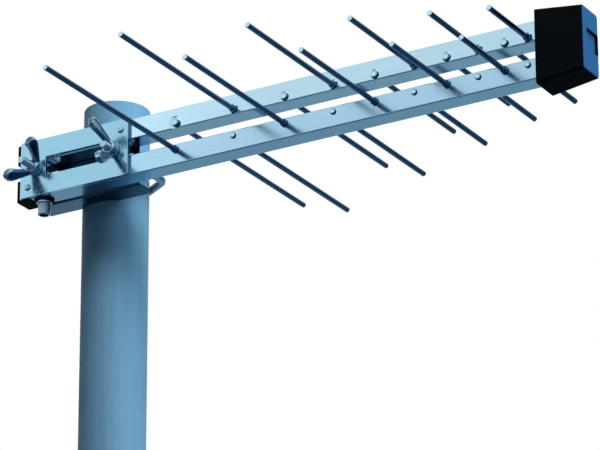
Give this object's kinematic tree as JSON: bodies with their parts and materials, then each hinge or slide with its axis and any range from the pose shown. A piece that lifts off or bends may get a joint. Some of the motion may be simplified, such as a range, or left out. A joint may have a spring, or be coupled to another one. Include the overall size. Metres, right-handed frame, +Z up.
{
  "type": "log-periodic antenna",
  "caption": "Log-periodic television antenna: two parallel square booms with riveted rods, held to a tubular mast by a plate, a notched channel, a V-bolt and wing nuts.",
  "frame": {"origin": "on the mast's axis at its foot", "axes": "+X along the booms towards the front cover, -Y from the mast towards the booms and the wing nuts, +Z up the mast"},
  "size_m": [0.473, 0.354, 0.298],
  "materials": {
    "mast": "weathered grey-blue galvanised tube, satin",
    "boom_aluminium": "satin mill-finish extrusion",
    "rod_aluminium": "drawn rod, smooth satin",
    "zinc_plate": "blue zinc-plated steel, fine spangle",
    "v_bolt_steel": "zinc-plated threaded steel",
    "wing_nut_zinc": "bright zinc-plated casting",
    "steel_fasteners": "zinc-plated steel",
    "black_plastic": "satin moulded plastic",
    "black_rubber": "matt rubber",
    "socket_nickel": "bright nickel plate",
    "white_insulator": "natural nylon",
    "brass": "bright brass",
    "cable_sheath": "white cable sheath",
    "copper_wire": "bare copper"
  },
  "bodies": {
    "mast": {"mast_tube": "mast"},
    "antenna": {"upper_boom": "boom_aluminium", "lower_boom": "boom_aluminium", "upper_rear_cap": "black_plastic", "lower_rear_cap": "black_plastic", "clamp_plate": "zinc_plate", "mast_jaw": "zinc_plate", "upper_plate_rivet": "steel_fasteners", "lower_plate_rivet": "steel_fasteners", "rear_washer": "steel_fasteners", "front_washer": "steel_fasteners", "socket_gasket": "black_rubber", "coax_socket": "socket_nickel", "socket_nut": "socket_nickel", "socket_insulator": "white_insulator", "socket_contact": "brass", "coax_cable": "cable_sheath", "feed_wire": "copper_wire", "feed_lug": "brass", "feed_spacer": "white_insulator", "upper_spacer_screw": "steel_fasteners", "lower_spacer_screw": "steel_fasteners", "lug_screw": "steel_fasteners", "d01_front_rod": "rod_aluminium", "d01_rear_rod": "rod_aluminium", "d02_front_rod": "rod_aluminium", "d02_rear_rod": "rod_aluminium", "d03_front_rod": "rod_aluminium", "d03_rear_rod": "rod_aluminium", "d04_front_rod": "rod_aluminium", "d04_rear_rod": "rod_aluminium", "d05_front_rod": "rod_aluminium", "d05_rear_rod": "rod_aluminium", "d06_front_rod": "rod_aluminium", "d06_rear_rod": "rod_aluminium", "d07_front_rod": "rod_aluminium", "d07_rear_rod": "rod_aluminium", "d08_front_rod": "rod_aluminium", "d08_rear_rod": "rod_aluminium", "d09_front_rod": "rod_aluminium", "d09_rear_rod": "rod_aluminium", "d10_front_rod": "rod_aluminium", "d10_rear_rod": "rod_aluminium"},
    "v_bolt": {"v_bolt": "v_bolt_steel"},
    "rear_nut": {"rear_wing_nut": "wing_nut_zinc"},
    "front_nut": {"front_wing_nut": "wing_nut_zinc"},
    "front_cover": {"front_cover": "black_plastic"}
  },
  "joints": [
    {"name": "azimuth_swivel", "type": "hinge", "parent": "mast", "child": "antenna", "pos_m": [0, 0, 0.24], "axis": [0, 0, 1], "continuous": true},
    {"name": "rear_nut_spin", "type": "hinge", "parent": "antenna", "child": "rear_nut", "pos_m": [-0.034, -0.0594, 0.24], "axis": [0, -1, 0], "range_deg": [0, 2160]},
    {"name": "front_nut_spin", "type": "hinge", "parent": "antenna", "child": "front_nut", "pos_m": [0.034, -0.0594, 0.24], "axis": [0, -1, 0], "range_deg": [0, 2160]},
    {"name": "v_bolt_slide", "type": "slide", "parent": "antenna", "child": "v_bolt", "axis": [0, 1, 0], "range_m": [0, 0.006]},
    {"name": "cover_slide", "type": "slide", "parent": "antenna", "child": "front_cover", "axis": [1, 0, 0], "range_m": [0, 0.026]}
  ],
  "couplings": [
    {"joint": "rear_nut_spin", "follows": "v_bolt_slide", "rad_per_m": 6283.2},
    {"joint": "front_nut_spin", "follows": "v_bolt_slide", "rad_per_m": 6283.2}
  ]
}
